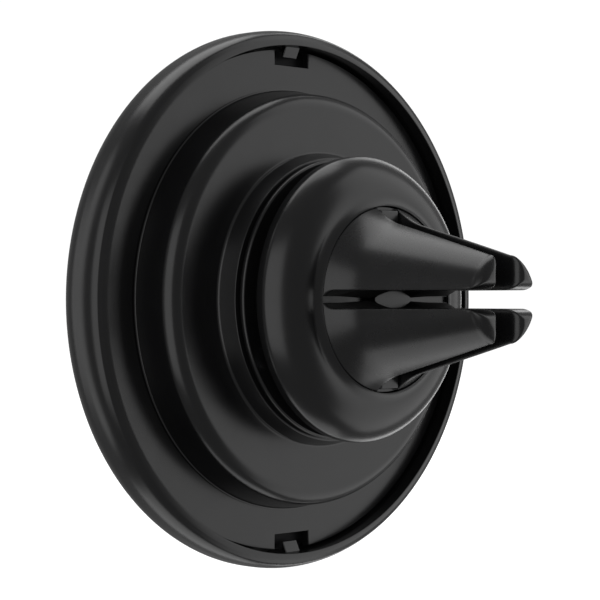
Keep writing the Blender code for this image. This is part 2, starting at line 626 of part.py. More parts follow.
def build_fingers(material, pad_material):
    """Four quadrants of one turned blank, parted by the two slots, each with a grip pad."""
    reach = DISC_R
    rise = LEAD_IN_LENGTH + FIT
    lead = wedge_mesh("lead_in", FINGER_TIP_Y - LEAD_IN_LENGTH, (reach, VANE_SLOT / 2), FINGER_TIP_Y + FIT,
                      (reach, VANE_SLOT / 2 + LEAD_IN * rise / LEAD_IN_LENGTH))
    lead = add_cutter("lead_in", lead)
    cross_rise = CROSS_LEAD_IN_LENGTH + FIT
    cross = wedge_mesh("cross_lead_in", FINGER_TIP_Y - CROSS_LEAD_IN_LENGTH, (CROSS_SLOT / 2, reach),
                       FINGER_TIP_Y + FIT,
                       (CROSS_SLOT / 2 + CROSS_LEAD_IN * cross_rise / CROSS_LEAD_IN_LENGTH, reach))
    cross = add_cutter("cross_lead_in", cross)
    for i, (sign_x, sign_z) in enumerate(QUADRANTS):
        label = i + 1
        finger = turned(f"finger_{label}", finger_profile(), material)
        quadrant = box_between((sign_x * CROSS_SLOT / 2, FINGER_Y - reach, sign_z * VANE_SLOT / 2),
                               (sign_x * reach, FINGER_Y + reach, sign_z * reach))
        cut(finger, add_cutter(f"quadrant_{label}", quadrant), "INTERSECT")
        cut(finger, lead)
        cut(finger, cross)
        root = root_mesh("root", sign_x, sign_z, ROOT_WIDTH / 2, ROOT_END_Y, FINGER_Y + ROOT_DEPTH)
        cut(finger, add_cutter(f"root_{label}", root), "UNION")
        clear = PAD_CLEAR
        pocket = box_between((sign_x * (PAD_INNER_X - clear), FINGER_Y - FIT, sign_z * VANE_SLOT / 4),
                             (sign_x * (PAD_OUTER_X + clear), FINGER_Y + PAD_HEIGHT + clear,
                              sign_z * (VANE_SLOT / 2 + PAD_TANG + clear)))
        cut(finger, add_cutter(f"pad_pocket_{label}", pocket))
        hang_on_pivot(finger, build_vane_pad(label, sign_x, sign_z, pad_material), sign_x, sign_z)


def build_vane_pad(label, sign_x, sign_z, material):
    """A wedge that narrows the slot towards its floor and towards the axis."""
    back_z = VANE_SLOT / 2 + PAD_TANG
    mesh = box_between((sign_x * PAD_INNER_X, FINGER_Y, 0.0),
                       (sign_x * PAD_OUTER_X, FINGER_Y + PAD_HEIGHT, sign_z * back_z))
    for vert in mesh.vertices:
        if abs(vert.co.z) > back_z / 2:
            continue
        if vert.co.y > FINGER_Y + PAD_HEIGHT / 2:
            vert.co.z = sign_z * VANE_SLOT / 2
        elif abs(vert.co.x) < (PAD_INNER_X + PAD_OUTER_X) / 2:
            vert.co.z = sign_z * PAD_GAP_IN
        else:
            vert.co.z = sign_z * PAD_GAP_OUT
    return add_part(f"vane_pad_{label}", mesh, material)


def hang_on_pivot(finger, pad, sign_x, sign_z):
    """The finger and its pad hang on an empty that lies on the finger's hinge axis."""
    diagonal = ROOT_PITCH_R / math.sqrt(2)
    pivot = bpy.data.objects.new(f"{finger.name}_pivot", None)
    place = Matrix.Translation((sign_x * diagonal, ROOT_PIVOT_Y, sign_z * diagonal))
    pivot.matrix_world = place
    bpy.data.collections[PARTS_NAME].objects.link(pivot)
    for obj in (finger, pad):
        obj.parent = pivot
        obj.matrix_parent_inverse = place.inverted()


def hang_head_on_ball(names):
    """The disc, its magnets and the socket hang on an empty at the ball's centre."""
    place = Matrix.Translation((0.0, BALL_Y, 0.0))
    pivot = bpy.data.objects.new("ball_centre", None)
    pivot.matrix_world = place
    bpy.data.collections[PARTS_NAME].objects.link(pivot)
    for obj in bpy.data.collections[PARTS_NAME].objects:
        if obj.name.startswith(names):
            obj.parent = pivot
            obj.matrix_parent_inverse = place.inverted()


def build_mount():
    satin_black = new_material("satin_black_plastic", (0.012, 0.012, 0.013), 0.32)
    inner_black = new_material("inner_black_plastic", (0.02, 0.02, 0.02), 0.55)
    rubber = new_material("black_rubber", (0.015, 0.015, 0.015), 0.8)
    liner = new_material("white_acetal", (0.75, 0.75, 0.72), 0.4)
    nickel = new_material("nickel_plate", (0.6, 0.58, 0.55), 0.25, 1.0)
    steel = new_material("zinc_steel", (0.55, 0.56, 0.58), 0.35, 1.0)

    build_bezel(satin_black)
    build_face_pad(rubber)
    build_magnets(nickel, inner_black, steel)
    build_rear_cover(satin_black)
    build_socket_housing(satin_black)
    build_housing_screws(steel)
    build_liners(liner, steel)
    build_ball_socket(satin_black)
    hang_head_on_ball(("bezel", "face", "magnet", "shunt", "rear", "socket", "housing", "front", "preload",
                       "ball_socket", "retaining"))
    build_ball_stud(steel)
    build_clip_body(satin_black)
    build_back_plate(inner_black, steel)
    build_hub(satin_black)
    build_fingers(satin_black, rubber)


clear_scene()
new_collection(PARTS_NAME)
new_collection(CUTTERS_NAME)
build_mount()
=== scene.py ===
"""Looks of a magnetic car phone mount: satin black mouldings, rubber pads, plated steel, studio light."""
import json
import math

import bmesh
import bpy
from mathutils import Matrix, Vector


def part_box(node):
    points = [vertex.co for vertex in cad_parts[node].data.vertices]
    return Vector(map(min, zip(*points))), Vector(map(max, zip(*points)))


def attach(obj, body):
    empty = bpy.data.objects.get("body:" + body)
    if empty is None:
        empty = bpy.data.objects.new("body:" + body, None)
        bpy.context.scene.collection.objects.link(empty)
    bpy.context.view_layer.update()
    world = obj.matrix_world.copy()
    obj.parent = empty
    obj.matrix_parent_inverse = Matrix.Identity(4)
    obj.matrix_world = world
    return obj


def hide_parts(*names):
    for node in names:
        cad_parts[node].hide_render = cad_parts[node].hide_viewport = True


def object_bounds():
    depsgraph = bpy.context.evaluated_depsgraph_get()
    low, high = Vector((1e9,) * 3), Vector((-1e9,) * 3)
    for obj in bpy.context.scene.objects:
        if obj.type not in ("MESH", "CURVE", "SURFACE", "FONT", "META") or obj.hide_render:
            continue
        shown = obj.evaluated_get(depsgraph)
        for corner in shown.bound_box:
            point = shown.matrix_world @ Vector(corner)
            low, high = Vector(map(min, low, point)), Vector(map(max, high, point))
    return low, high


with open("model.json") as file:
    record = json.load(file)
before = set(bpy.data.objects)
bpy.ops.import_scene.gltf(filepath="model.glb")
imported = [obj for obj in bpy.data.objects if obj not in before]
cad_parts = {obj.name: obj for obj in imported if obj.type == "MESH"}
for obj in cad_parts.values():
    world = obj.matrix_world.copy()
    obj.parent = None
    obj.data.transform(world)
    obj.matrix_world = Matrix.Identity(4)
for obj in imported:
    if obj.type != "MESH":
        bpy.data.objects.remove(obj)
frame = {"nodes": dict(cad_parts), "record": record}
CAD_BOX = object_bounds()

MM = 0.001
SEGMENTS = 256                          # round every turned piece
ARC_STEPS = 10
FILLET_STEPS = 4
BEVEL_STEPS = 3
SHARP_DEG = 50                          # faces that meet at more than this keep a crisp edge

# Camera, at the height of the mount's axis
VIEW_AZIMUTH = math.radians(45.59)      # from the mount's axis to the camera, seen from above
VIEW_DISTANCE = 222.7 * MM
VIEW_SIDE_STEP = 0.33 * MM
VIEW_LENS = 120.0                       # in mm, on a sensor of 36 mm
VIEW_SHIFT = -1 / 1200                  # of the sensor's width, upward
PANEL_DISTANCE = 600 * MM               # of the lights from the point that they aim at
PANEL_AIM_Y = 10 * MM

# Edge roundings of the mouldings
FINE_EDGE = 0.10 * MM
SOFT_EDGE = 0.18 * MM

# Bezel
BEZEL_WALL = 1.8 * MM
BEZEL_FLOOR_Y = 1.25 * MM
LIP_WIDTH = 0.7 * MM
LIP_SLOPE = 0.2 * MM                    # fall of the lip across its width
LIP_BREAK = (0.5 * MM, 0.7 * MM)        # outward and down, from the lip to where the rounding starts
LIP_ROUND_DEG = 70                      # where the rear rounding starts, below the lip
REAR_ROUND_DEPTH = 2.6 * MM
FRONT_ROUND_R = 3.4 * MM
PAD_RECESS_R = 26.4 * MM
PAD_RECESS = 0.65 * MM
PAD_RECESS_EDGE = 0.07 * MM
HOOK_WIDTH = 2.2 * MM
HOOK_REACH = 1.2 * MM
HOOK_THICK = 1.0 * MM
HOOK_SLOPE = 0.48                       # fall of the hook's ramp towards its tip

# Face pad
PAD_EDGE = 0.25 * MM
PAD_GROOVE_RADII = (22.6 * MM, 21.2 * MM)
PAD_GROOVE_DEPTH = 0.12 * MM
PAD_GROOVE_TOP = 0.35 * MM              # half widths of a groove, at the face and at its floor
PAD_GROOVE_FLOOR = 0.2 * MM
PAD_GROOVE_EDGE = 0.08 * MM

# Rear cover
COVER_HOLE_R = 21.3 * MM
NOTCH_WIDTH = 5.3 * MM
NOTCH_DEPTH = 1.8 * MM

# Boss, neck and ring
BOSS_TO_COVER = 0.15 * MM
BOSS_HEIGHT = 4.8 * MM
BOSS_DRAFT = 0.55 * MM
BOSS_ROUND_R = 1.7 * MM
BOSS_WALL = 1.5 * MM
BOSS_FOOT_FLARE = 0.22 * MM
BOSS_FOOT_REACH = 0.9 * BOSS_FOOT_FLARE
NECK_R = 16.05 * MM
NECK_DRAFT = 0.55 * MM
NECK_WALL = 1.6 * MM
NECK_FOOT_FILLET = 0.35 * MM
RING_ROUND = 0.28 * MM
BALL_Y = 9.0 * MM
RING_SEAT_R = 6.42 * MM                 # of the sphere that the ring's bore follows, round the liners

# Clip body and hub
CLIP_RIM_R = 1.1 * MM
CLIP_RIM_DEG = 28                       # where the rim's rounding becomes the domed shoulder
CLIP_DOME_R = 4.8 * MM
CLIP_SKIRT_R = 1.75 * MM                # concave turn of the face up to the fingers
CLIP_SKIRT_DEG = 44
CLIP_BACK_EDGE = 0.25 * MM
CLIP_SKIN = 1.5 * MM
HUB_R = 9.95 * MM
HUB_GAP = 0.07 * MM                     # parting line between the hub and the knob
HUB_FLANGE_THICK = 0.8 * MM
HUB_BORE_R = 2.1 * MM
HUB_BORE_DEPTH = 1.1 * MM
RIB_HALF = 1.42 * MM                    # rib of the hub along the vertical slot
RIB_REACH = 9.55 * MM
RIB_RISE = 0.75 * MM
RIB_SINK = 0.2 * MM
RIB_EDGE = 0.2 * MM
CORE_RISE = 1.2 * MM                    # raised middle of the rib, between the wedges' tips
CORE_REACH = 0.8 * MM
PLATE_ENDS = (2.85 * MM, 1.65 * MM)     # where the plate on the core ends, and where it is widest
PLATE_HALF = 0.88 * MM
PLATE_THICK = 0.12 * MM
PLATE_GAP = 0.02 * MM                   # from the plate to the pads beside it
PLATE_LIFT = 0.01 * MM                  # from the plate to the core under it

# Fingers
FINGER_LENGTH = 17.05 * MM              # above the hub
FINGER_LIFT = 0.3 * MM                  # of the fingers' feet from the hub
FOOT_EDGE = 0.06 * MM
ROOT_PITCH_R = 6.0 * MM                 # of the roots and their pockets, round the axis
ROOT_HALF = 1.3 * MM
ROOT_OVERLAP = 1.5 * MM
POCKET_HALF = 1.7 * MM
POCKET_CLEAR = 0.3 * MM
CONE_BASE_R = 8.1 * MM
CONE_BASE_RISE = 3.7 * MM
CONE_TIP_R = 4.86 * MM
TIP_ROUND_R = 1.3 * MM
VANE_SLOT = 1.9 * MM
CROSS_SLOT = 3.1 * MM
VANE_LEAD = (1.30 * MM, 2.3 * MM)       # rounding of the tip along the horizontal slot: sideways, along
CROSS_LEAD = (1.10 * MM, 1.26 * MM)
SLOT_END_R = VANE_SLOT / 2
SLOT_FLOOR_GAP = 0.34 * MM              # half the width of the horizontal slot's floor
LEAST_TIP = 0.08 * MM                   # the narrowest section that still closes a tip
QUADRANTS = ((1, 1), (-1, 1), (-1, -1), (1, -1))

# Vane pads: (distance from the axis, half the gap that they leave at the slot's floor)
PAD_GAPS = ((1.6 * MM, 0.95 * MM), (2.9 * MM, 0.14 * MM), (7.0 * MM, 0.34 * MM), (9.8 * MM, 0.36 * MM))
GRIP_HEIGHT = 3.0 * MM
GRIP_LEAST_HEIGHT = 0.15 * MM
GRIP_HEIGHT_STEP = 0.05 * MM
GRIP_SINK = 0.12 * MM                   # of the pads' feet below the fingers' feet
GRIP_EMBED = 0.3 * MM                   # how deep the pads sit in the fingers
GRIP_INSET = 0.22 * MM                  # from the fingers' outer surface, sideways and at the top
GRIP_TOP_INSET = 0.1 * MM
GRIP_STEPS = 40
GRIP_FACE_STEPS = 8
GRIP_FACE_POWER = 1.6


# --- meshes ---------------------------------------------------------------------------------------

def arc(centre_r, centre_y, radius_r, start_deg, end_deg, steps=ARC_STEPS, radius_y=None):
    """Profile points on an arc, or on an ellipse. 0 degrees points outward, 90 along the axis."""
    radius_y = radius_r if radius_y is None else radius_y
    points = []
    for i in range(steps + 1):
        angle = math.radians(start_deg + (end_deg - start_deg) * i / steps)
        points.append((centre_r + radius_r * math.cos(angle), centre_y + radius_y * math.sin(angle)))
    return points


def filleted(corners, closed=False):
    """A profile from (radius, along, fillet) corners, each fillet an arc tangent to both sides."""
    points = []
    count = len(corners)
    for i, corner in enumerate(corners):
        here = Vector(corner[:2])
        fillet = corner[2] if len(corner) > 2 else 0.0
        if not fillet or (not closed and i in (0, count - 1)):
            points.append(tuple(here))
            continue
        to_last = (Vector(corners[i - 1][:2]) - here)
        to_next = (Vector(corners[(i + 1) % count][:2]) - here)
        a, b = to_last.normalized(), to_next.normalized()
        half = a.angle(b) / 2
        reach = fillet / math.tan(half)
        limit = 0.49 * min(to_last.length, to_next.length)
        if reach > limit:
            fillet *= limit / reach
            reach = limit
        centre = here + (a + b).normalized() * (fillet / math.sin(half))
        start = here + a * reach - centre
        turn = start.angle_signed(here + b * reach - centre)
        for k in range(FILLET_STEPS + 1):
            angle = -turn * k / FILLET_STEPS
            points.append((centre.x + start.x * math.cos(angle) - start.y * math.sin(angle),
                           centre.y + start.x * math.sin(angle) + start.y * math.cos(angle)))
    return points


def lathe_data(points, closed):
    """Vertices and faces of a profile turned about the Y axis."""
    verts, rings = [], []
    for radius, along in points:
        if radius < 1e-7:
            rings.append([len(verts)])
            verts.append((0.0, along, 0.0))
            continue
        rings.append(list(range(len(verts), len(verts) + SEGMENTS)))
        for k in range(SEGMENTS):
            angle = 2 * math.pi * k / SEGMENTS
            verts.append((radius * math.cos(angle), along, radius * math.sin(angle)))
    faces = []
    pairs = list(zip(rings, rings[1:]))
    if closed:
        pairs.append((rings[-1], rings[0]))
    for low, high in pairs:
        for k in range(SEGMENTS):
            n = (k + 1) % SEGMENTS
            if len(low) == 1 and len(high) == 1:
                continue
            if len(low) == 1:
                faces.append((low[0], high[n], high[k]))
            elif len(high) == 1:
                faces.append((low[k], low[n], high[0]))
            else:
                faces.append((low[k], low[n], high[n], high[k]))
    return verts, faces


def new_piece(name, mesh, material, body, nodes=(), weighted=True):
    """A shown piece. Weighted normals keep its flats flat beside small roundings."""
    obj = bpy.data.objects.new(name, mesh)
    bpy.context.scene.collection.objects.link(obj)
    mesh.materials.clear()
    mesh.materials.append(material)
    bm = bmesh.new()
    bm.from_mesh(mesh)
    bmesh.ops.recalc_face_normals(bm, faces=bm.faces)
    bm.to_mesh(mesh)
    bm.free()
    mesh.shade_smooth()
    mesh.set_sharp_from_angle(angle=math.radians(SHARP_DEG))
    if weighted:
        modifier = obj.modifiers.new("flat faces lead", "WEIGHTED_NORMAL")
        modifier.mode = "FACE_AREA"
        modifier.weight = 100
        modifier.keep_sharp = True
    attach(obj, body)
    if nodes:
        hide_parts(*nodes)
    return obj


def turned(name, points, closed):
    """A mesh turned from a profile, which is closed on itself or ends on the axis."""
    mesh = bpy.data.meshes.new(name)
    verts, faces = lathe_data(points, closed)
    mesh.from_pydata(verts, [], faces)
    return mesh


def block_mesh(name, low, high, edge):
    """A box with rounded edges."""
    mesh = bpy.data.meshes.new(name)
    bm = bmesh.new()
    bmesh.ops.create_cube(bm, size=1.0)
    for vert in bm.verts:
        vert.co = Vector(low[i] + (vert.co[i] + 0.5) * (high[i] - low[i]) for i in range(3))
    bmesh.ops.bevel(bm, geom=list(bm.edges), offset=edge, segments=BEVEL_STEPS, affect="EDGES",
                     profile=0.5)
    bm.to_mesh(mesh)
    bm.free()
    return mesh


def joined(name, meshes):
    """One mesh from several, which are used up."""
    mesh = bpy.data.meshes.new(name)
    bm = bmesh.new()
    for part in meshes:
        bm.from_mesh(part)
        bpy.data.meshes.remove(part)
    bm.to_mesh(mesh)
    bm.free()
    return mesh


def carve(mesh, cutter_meshes):
    """The mesh minus the cutters. All of them are used up."""
    obj = bpy.data.objects.new("carved", mesh)
    cutter = bpy.data.objects.new("cutter", joined("cutter", cutter_meshes))
    for item in (obj, cutter):
        bpy.context.scene.collection.objects.link(item)
    modifier = obj.modifiers.new("carve", "BOOLEAN")
    modifier.operation = "DIFFERENCE"
    modifier.solver = "EXACT"
    modifier.object = cutter
    depsgraph = bpy.context.evaluated_depsgraph_get()
    result = bpy.data.meshes.new_from_object(obj.evaluated_get(depsgraph))
    for item in (obj, cutter):
        data = item.data
        bpy.data.objects.remove(item)
        bpy.data.meshes.remove(data)
    return result


# --- materials ------------------------------------------------------------------------------------

class Nodes:
    """Short names for building one material's node tree."""

    def __init__(self, name):
        self.material = bpy.data.materials.new(name)
        self.material.use_nodes = True
        self.tree = self.material.node_tree
        self.shader = self.tree.nodes["Principled BSDF"]
        self.coords = self.tree.nodes.new("ShaderNodeTexCoord").outputs["Object"]

    def add(self, kind):
        return self.tree.nodes.new(kind)

    def link(self, output, target):
        self.tree.links.new(output, target)

    def noise(self, size, detail=2.0, roughness=0.5, stretch=(1.0, 1.0, 1.0)):
        """A noise whose features are about this size in metres."""
        mapping = self.add("ShaderNodeMapping")
        mapping.inputs["Scale"].default_value = tuple(value / size for value in stretch)
        self.link(self.coords, mapping.inputs["Vector"])
        noise = self.add("ShaderNodeTexNoise")
        noise.inputs["Scale"].default_value = 1.0
        noise.inputs["Detail"].default_value = detail
        noise.inputs["Roughness"].default_value = roughness
        self.link(mapping.outputs["Vector"], noise.inputs["Vector"])
        return noise.outputs["Fac"]

    def spread(self, value, low, high):
        """A noise's middle range, spread between low and high."""
        span = self.add("ShaderNodeMapRange")
        span.inputs["From Min"].default_value = 0.3
        span.inputs["From Max"].default_value = 0.7
        span.inputs["To Min"].default_value = low
        span.inputs["To Max"].default_value = high
        self.link(value, span.inputs["Value"])
        return span.outputs["Result"]

    def bump(self, height, strength, distance, under=None):
        bump = self.add("ShaderNodeBump")
        bump.inputs["Strength"].default_value = strength
        bump.inputs["Distance"].default_value = distance
        self.link(height, bump.inputs["Height"])
        if under is not None:
            self.link(under, bump.inputs["Normal"])
        return bump.outputs["Normal"]

    def mix(self, factor, low, high):
        """Colours between low and high."""
        mix = self.add("ShaderNodeMix")
        mix.data_type = "RGBA"
        self.link(factor, mix.inputs["Factor"])
        mix.inputs["A"].default_value = (*low, 1.0)
        mix.inputs["B"].default_value = (*high, 1.0)
        return mix.outputs["Result"]


def satin_plastic(name, colour, roughness, grain=0.12, specular=0.5):
    """Moulded plastic: a faint spark-eroded grain, uneven gloss and a little colour drift."""
    n = Nodes(name)
    n.shader.inputs["Specular IOR Level"].default_value = specular
    drift = n.noise(9 * MM, 3.0)
    n.link(n.mix(n.spread(drift, 0.0, 1.0), tuple(0.82 * c for c in colour), tuple(1.18 * c for c in colour)),
           n.shader.inputs["Base Color"])
    gloss = n.noise(3.1 * MM, 4.0, 0.6)
    n.link(n.spread(gloss, roughness - 0.018, roughness + 0.022), n.shader.inputs["Roughness"])
    fine = n.bump(n.noise(0.16 * MM, 2.0, 0.6), grain, 0.006 * MM)
    n.link(n.bump(n.noise(5.0 * MM, 1.0), 0.10, 0.02 * MM, fine), n.shader.inputs["Normal"])
    n.shader.inputs["IOR"].default_value = 1.49
    return n.material


def rubber(name, colour, roughness, grain_size, specular=0.5):
    """Matt elastomer with a fine skin and a trace of dust."""
    n = Nodes(name)
    n.shader.inputs["Specular IOR Level"].default_value = specular
    n.link(n.mix(n.spread(n.noise(2.5 * MM, 5.0, 0.7), 0.0, 1.0), tuple(0.7 * c for c in colour),
                 tuple(1.3 * c for c in colour)), n.shader.inputs["Base Color"])
    n.link(n.spread(n.noise(1.2 * MM, 4.0), roughness - 0.06, roughness + 0.06), n.shader.inputs["Roughness"])
    n.link(n.bump(n.noise(grain_size, 4.0, 0.7), 0.5, 0.02 * MM), n.shader.inputs["Normal"])
    n.shader.inputs["Sheen Weight"].default_value = 0.02
    n.shader.inputs["Sheen Roughness"].default_value = 0.5
    return n.material


def metal(name, colour, roughness, brushed=(1.0, 1.0, 1.0)):
    """Plated metal with fine scratches along one direction and cloudy tarnish."""
    n = Nodes(name)
    n.link(n.mix(n.spread(n.noise(1.6 * MM, 5.0, 0.65), 0.0, 1.0), tuple(0.8 * c for c in colour), colour),
           n.shader.inputs["Base Color"])
    scratches = n.noise(0.25 * MM, 3.0, 0.6, brushed)
    n.link(n.spread(scratches, roughness - 0.07, roughness + 0.1), n.shader.inputs["Roughness"])
    n.link(n.bump(scratches, 0.15, 0.004 * MM), n.shader.inputs["Normal"])
    n.shader.inputs["Metallic"].default_value = 1.0
    return n.material


def acetal(name):
    """Natural white bearing plastic, slightly translucent."""
    n = Nodes(name)
    n.link(n.mix(n.spread(n.noise(2.0 * MM, 3.0), 0.0, 1.0), (0.66, 0.65, 0.61), (0.76, 0.75, 0.72)),
           n.shader.inputs["Base Color"])
    n.link(n.spread(n.noise(0.8 * MM, 3.0), 0.34, 0.46), n.shader.inputs["Roughness"])
    n.link(n.bump(n.noise(0.3 * MM, 3.0), 0.1, 0.005 * MM), n.shader.inputs["Normal"])
    n.shader.inputs["Subsurface Weight"].default_value = 0.15
    n.shader.inputs["Subsurface Scale"].default_value = 0.5 * MM
    return n.material


# --- pieces ---------------------------------------------------------------------------------------

DISC_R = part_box("bezel_housing")[1].x
LIP_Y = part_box("bezel_housing")[1].y
BEZEL_INNER_R = DISC_R - BEZEL_WALL
COVER_LOW, COVER_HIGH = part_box("rear_cover")
PAD_LOW, PAD_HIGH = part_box("face_pad")
NECK_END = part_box("socket_housing")[1]
RING_LOW, RING_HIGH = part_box("retaining_ring")
CLIP_LOW, CLIP_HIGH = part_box("clip_body")
HUB_LOW, HUB_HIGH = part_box("clip_hub")
FINGER_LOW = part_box("finger_1")[0]
FINGER_Y = HUB_HIGH.y + FINGER_LIFT
FINGER_TIP_Y = HUB_HIGH.y + FINGER_LENGTH


def build_bezel(material):
    """The disc's cup, with the two hooks that hold the rear cover."""
    lip_r = BEZEL_INNER_R + LIP_WIDTH
    rear_round_y = LIP_Y - REAR_ROUND_DEPTH
    points = [(0.0, BEZEL_FLOOR_Y), (BEZEL_INNER_R, BEZEL_FLOOR_Y)]
    points += filleted([(BEZEL_INNER_R, BEZEL_FLOOR_Y), (BEZEL_INNER_R, LIP_Y, FINE_EDGE),
                        (lip_r, LIP_Y - LIP_SLOPE, FINE_EDGE),
                        (lip_r + LIP_BREAK[0], LIP_Y - LIP_BREAK[1])])[1:-1]
    points += arc(lip_r, rear_round_y, DISC_R - lip_r, LIP_ROUND_DEG, 0, 16, REAR_ROUND_DEPTH - LIP_SLOPE)
    round_r = DISC_R - FRONT_ROUND_R
    points += arc(round_r, FRONT_ROUND_R, FRONT_ROUND_R, 0, -88, 18)
    points += filleted([(round_r, 0.0), (PAD_RECESS_R, 0.0, PAD_RECESS_EDGE), (PAD_RECESS_R, PAD_RECESS),
                        (0.0, PAD_RECESS)])
    meshes = [turned("bezel", points, False)]
    hook_y = COVER_LOW.y + HOOK_THICK / 2
    hook_root_r = BEZEL_INNER_R + BEZEL_WALL / 3
    for side in (1, -1):
        z_ends = sorted((side * hook_root_r, side * (BEZEL_INNER_R - HOOK_REACH)))
        hook = block_mesh("hook", (-HOOK_WIDTH / 2, hook_y, z_ends[0]),
                          (HOOK_WIDTH / 2, hook_y + HOOK_THICK, z_ends[1]), FINE_EDGE)
        for vert in hook.vertices:
            if vert.co.y > hook_y + HOOK_THICK / 2:
                vert.co.y -= HOOK_SLOPE * (hook_root_r - abs(vert.co.z))
        meshes.append(hook)
    new_piece("bezel_shell", joined("bezel_shell", meshes), material, "head",
              ["bezel_housing"])


def build_face_pad(material):
    """Silicone disc with a rounded edge and two shallow rings moulded into its face."""
    pad_r = PAD_HIGH.x
    corners = [(0.0, PAD_HIGH.y), (pad_r, PAD_HIGH.y, FINE_EDGE), (pad_r, PAD_LOW.y, PAD_EDGE)]
    for middle in PAD_GROOVE_RADII:
        for step, depth in ((PAD_GROOVE_TOP, 0.0), (PAD_GROOVE_FLOOR, PAD_GROOVE_DEPTH),
                            (-PAD_GROOVE_FLOOR, PAD_GROOVE_DEPTH), (-PAD_GROOVE_TOP, 0.0)):
            corners.append((middle + step, PAD_LOW.y + depth, PAD_GROOVE_EDGE))
    corners.append((0.0, PAD_LOW.y))
    new_piece("silicone_pad", turned("silicone_pad", filleted(corners), False), material, "head",
              ["face_pad"])


def build_rear_cover(material):
    """Flat ring with rounded edges and a latch notch at its top and bottom."""
    curve = bpy.data.curves.new("rear_plate", "CURVE")
    curve.dimensions = "2D"
    curve.fill_mode = "BOTH"
    curve.extrude = (COVER_HIGH.y - COVER_LOW.y) / 2 - FINE_EDGE
    curve.bevel_depth = FINE_EDGE
    curve.bevel_resolution = 2
    curve.offset = -FINE_EDGE
    outer_r = COVER_HIGH.x
    half = NOTCH_WIDTH / 2
    corner_deg = math.degrees(math.asin(half / outer_r))
    notch_floor = outer_r - NOTCH_DEPTH
    outline = []
    for start, sign in ((90, 1), (270, -1)):
        outline += [(sign * half, sign * notch_floor), (-sign * half, sign * notch_floor)]
        outline += arc(0.0, 0.0, outer_r, start + corner_deg, start + 180 - corner_deg, SEGMENTS // 2)
    for points in (outline, arc(0.0, 0.0, COVER_HOLE_R, 0, 360 - 360 / SEGMENTS, SEGMENTS - 1)):
        spline = curve.splines.new("POLY")
        spline.points.add(len(points) - 1)
        for point, (x, z) in zip(spline.points, points):
            point.co = (x, z, 0.0, 1.0)
        spline.use_cyclic_u = True
    obj = bpy.data.objects.new("rear_plate_outline", curve)
    bpy.context.scene.collection.objects.link(obj)
    depsgraph = bpy.context.evaluated_depsgraph_get()
    mesh = bpy.data.meshes.new_from_object(obj.evaluated_get(depsgraph))
    bpy.data.objects.remove(obj)
    bm = bmesh.new()
    bm.from_mesh(mesh)
    bmesh.ops.remove_doubles(bm, verts=bm.verts, dist=0.000002)
    bm.transform(Matrix.Translation((0.0, (COVER_LOW.y + COVER_HIGH.y) / 2, 0.0))
                 @ Matrix.Rotation(math.pi / 2, 4, "X"))
    bm.to_mesh(mesh)
    bm.free()
    new_piece("rear_plate", mesh, material, "head", ["rear_cover"])


def build_socket_housing(material):
    """Boss and neck, moulded as one shell, with a small concave foot on the cover."""
    boss_low_y = COVER_HIGH.y + BOSS_TO_COVER
    boss_top_y = boss_low_y + BOSS_HEIGHT
    boss_r = NECK_END.x
    boss_top_r = boss_r - BOSS_DRAFT
    neck_top_r = NECK_R - NECK_DRAFT
    centre_r, centre_y = boss_top_r - BOSS_ROUND_R, boss_top_y - BOSS_ROUND_R
    points = filleted([(NECK_R - NECK_WALL, NECK_END.y), (neck_top_r, NECK_END.y, FINE_EDGE),
                       (NECK_R, boss_top_y, NECK_FOOT_FILLET), (centre_r, boss_top_y)])
    points += arc(centre_r, centre_y, BOSS_ROUND_R, 89, 4, 14)
    points += arc(boss_r + BOSS_FOOT_REACH, boss_low_y + BOSS_FOOT_FLARE, BOSS_FOOT_FLARE, 174, 262, 5)
    points += [(boss_r - BOSS_WALL, boss_low_y), (boss_r - BOSS_WALL, boss_top_y - BOSS_WALL),
               (NECK_R - NECK_WALL, boss_top_y - BOSS_WALL)]
    new_piece("socket_shell", turned("socket_shell", points, True), material, "head",
              ["socket_housing"])


def build_ring(material):
    """The ring that closes the socket behind the ball."""
    ring_r = RING_HIGH.x
    low_seat, high_seat = (math.sqrt(RING_SEAT_R ** 2 - (y - BALL_Y) ** 2) for y in (RING_LOW.y, RING_HIGH.y))
    corners = [(ring_r, RING_HIGH.y, RING_ROUND), (ring_r, RING_LOW.y, RING_ROUND),
               (low_seat, RING_LOW.y, FINE_EDGE), (high_seat, RING_HIGH.y, FINE_EDGE)]
    new_piece("ball_ring", turned("ball_ring", filleted(corners, closed=True), True), material, "head",
              ["retaining_ring"])


